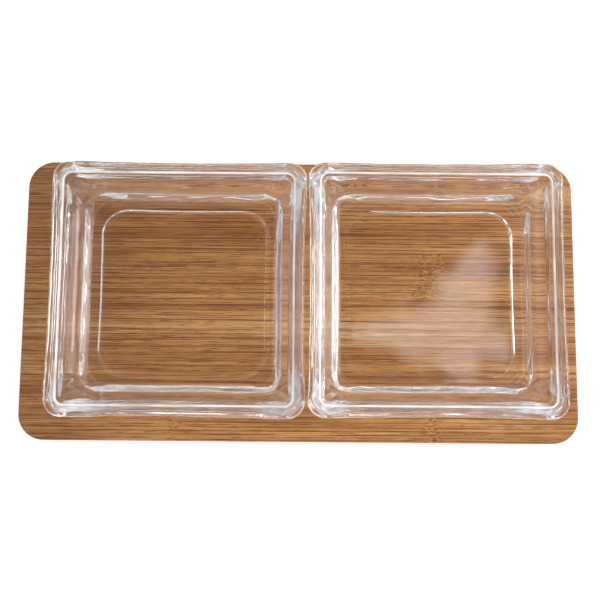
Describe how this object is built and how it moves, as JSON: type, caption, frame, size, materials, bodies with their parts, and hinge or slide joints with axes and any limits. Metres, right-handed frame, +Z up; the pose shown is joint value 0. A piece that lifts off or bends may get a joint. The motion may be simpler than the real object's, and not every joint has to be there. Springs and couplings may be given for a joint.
{
  "type": "chip and dip server",
  "caption": "Rectangular bamboo serving tray with square clear glass dishes standing loose side by side, for chips and dip.",
  "frame": {"origin": "centre of the tray's underside, on the surface that the server stands on", "axes": "+X along the tray's long side from the left dish to the right dish, +Y towards the back, +Z up out of the dishes' mouths"},
  "size_m": [0.3, 0.152, 0.0425],
  "materials": {
    "bamboo": "satin, lightly oiled, grain along the tray",
    "clear_glass": "clear thick pressed glass, fire-polished"
  },
  "bodies": {
    "tray": {"bamboo_tray": "bamboo"},
    "left_dish": {"left_dish": "clear_glass"},
    "right_dish": {"right_dish": "clear_glass"}
  },
  "joints": [
    {"name": "left_dish_lift", "type": "slide", "parent": "tray", "child": "left_dish", "axis": [0, 0, 1], "range_m": [0, 0.06]},
    {"name": "right_dish_lift", "type": "slide", "parent": "tray", "child": "right_dish", "axis": [0, 0, 1], "range_m": [0, 0.06]}
  ]
}
